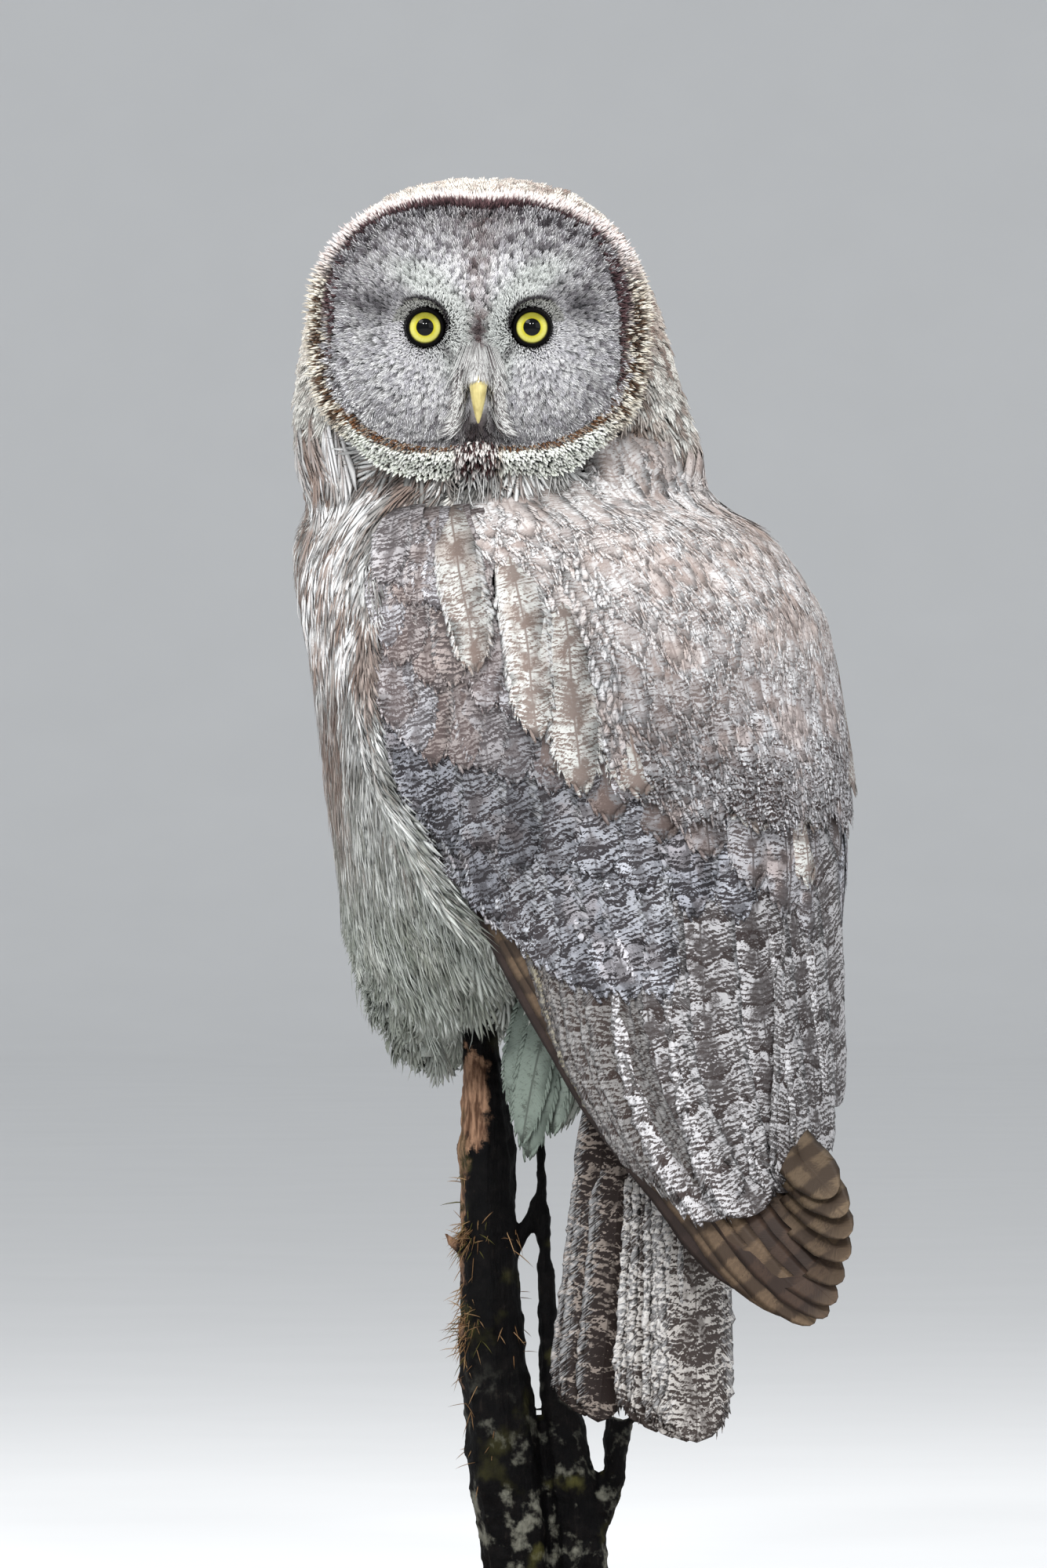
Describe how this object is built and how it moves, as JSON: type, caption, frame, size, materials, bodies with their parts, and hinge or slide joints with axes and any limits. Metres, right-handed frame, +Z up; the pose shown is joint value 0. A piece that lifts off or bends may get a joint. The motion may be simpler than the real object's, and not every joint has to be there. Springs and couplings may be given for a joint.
{
  "type": "great grey owl model",
  "caption": "Life-size great grey owl perched on a broken branch with its back turned and its face looking round, on a plain round display stand.",
  "frame": {"origin": "centre of the stand's underside, on the floor", "axes": "+Z up through the stand and the bird; the face looks along -Y; the bird's back is turned 45 degrees from -Y towards +X"},
  "size_m": [0.33, 0.33, 0.7315],
  "materials": {
    "plumage_grey": "soft grey-brown plumage, mottled and barred",
    "plumage_pale": "long, loose, pale grey plumage with brown streaks",
    "flight_feather": "matt feather vanes, barred grey-white and dark brown",
    "disc_feather": "short, fine, ringed facial feathering",
    "eye": "wet, clear cornea over a yellow iris and a black pupil",
    "bill_horn": "satin yellow horn",
    "claw_horn": "satin black horn",
    "bark": "rough, weathered dark bark with bare tan wood",
    "stand_wood": "satin turned wood",
    "stand_steel": "brushed rod"
  },
  "bodies": {
    "root": {"torso": "plumage_pale", "head": "plumage_grey", "facial_disc": "disc_feather", "eye_left": "eye", "eye_right": "eye", "bill_upper": "bill_horn", "bill_lower": "bill_horn", "wing_left": "flight_feather", "wing_right": "flight_feather", "tail": "flight_feather", "leg_left": "plumage_pale", "leg_right": "plumage_pale", "foot_left": "plumage_pale", "foot_right": "plumage_pale", "claw_left_1": "claw_horn", "claw_left_2": "claw_horn", "claw_left_3": "claw_horn", "claw_left_4": "claw_horn", "claw_right_1": "claw_horn", "claw_right_2": "claw_horn", "claw_right_3": "claw_horn", "claw_right_4": "claw_horn", "perch": "bark", "stand_base": "stand_wood", "stand_rod_1": "stand_steel", "stand_rod_2": "stand_steel"}
  },
  "joints": []
}
